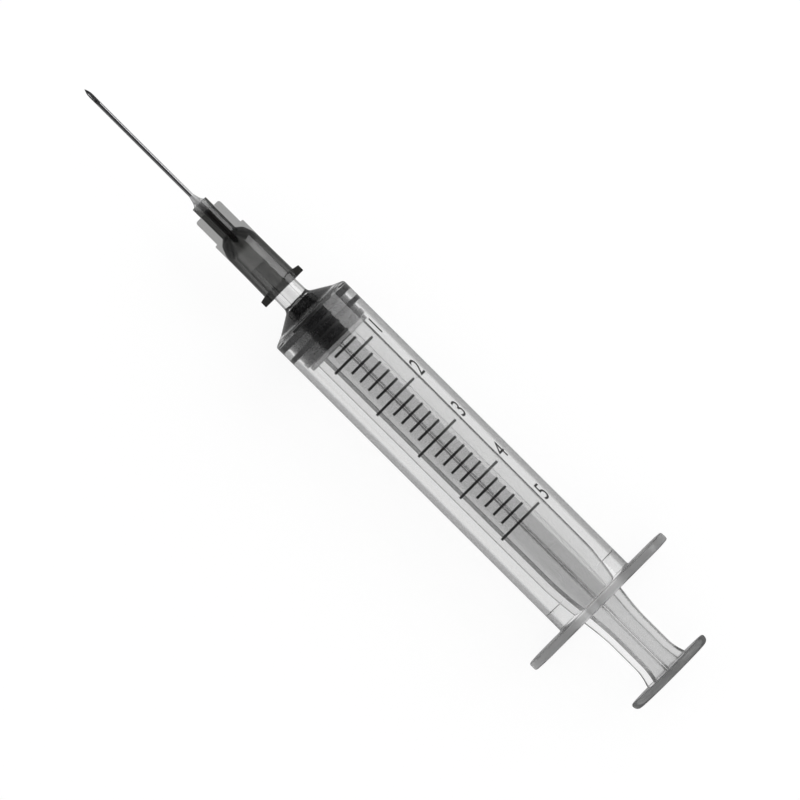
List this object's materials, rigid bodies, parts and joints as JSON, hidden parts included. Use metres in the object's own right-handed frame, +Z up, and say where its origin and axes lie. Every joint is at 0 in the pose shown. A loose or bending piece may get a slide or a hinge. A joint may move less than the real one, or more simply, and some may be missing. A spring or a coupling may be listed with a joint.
{
  "type": "syringe with needle",
  "caption": "Clear disposable syringe with a ribbed rubber stopper, a crossed plunger rod, a finger flange and a thin needle in a dark tapered hub.",
  "frame": {"origin": "middle of the syringe's box on the surface that it lies on", "axes": "+X along the syringe from the needle's tip to the thumb disc, +Y along the finger flange, +Z up through the side that carries the scale"},
  "size_m": [0.1222, 0.0274, 0.0157],
  "materials": {
    "needle_steel": "drawn and polished",
    "clear_adhesive": "clear glossy",
    "smoky_hub": "smoky translucent",
    "clear_barrel": "clear glossy",
    "black_rubber": "satin",
    "clear_rod": "slightly milky clear"
  },
  "bodies": {
    "barrel": {"barrel": "clear_barrel"},
    "needle": {"needle_hub": "smoky_hub", "needle_cannula": "needle_steel", "needle_adhesive": "clear_adhesive"},
    "stopper": {"plunger_stopper": "black_rubber"},
    "plunger": {"plunger_rod": "clear_rod"}
  },
  "joints": [
    {"name": "plunger_slide", "type": "slide", "parent": "barrel", "child": "stopper", "axis": [1, 0, 0], "range_m": [0, 0.05]},
    {"name": "plunger_turn", "type": "hinge", "parent": "stopper", "child": "plunger", "pos_m": [-0.01, 0, 0.00785], "axis": [1, 0, 0], "continuous": true},
    {"name": "needle_pull_off", "type": "slide", "parent": "barrel", "child": "needle", "axis": [-1, 0, 0], "range_m": [0, 0.008]}
  ]
}
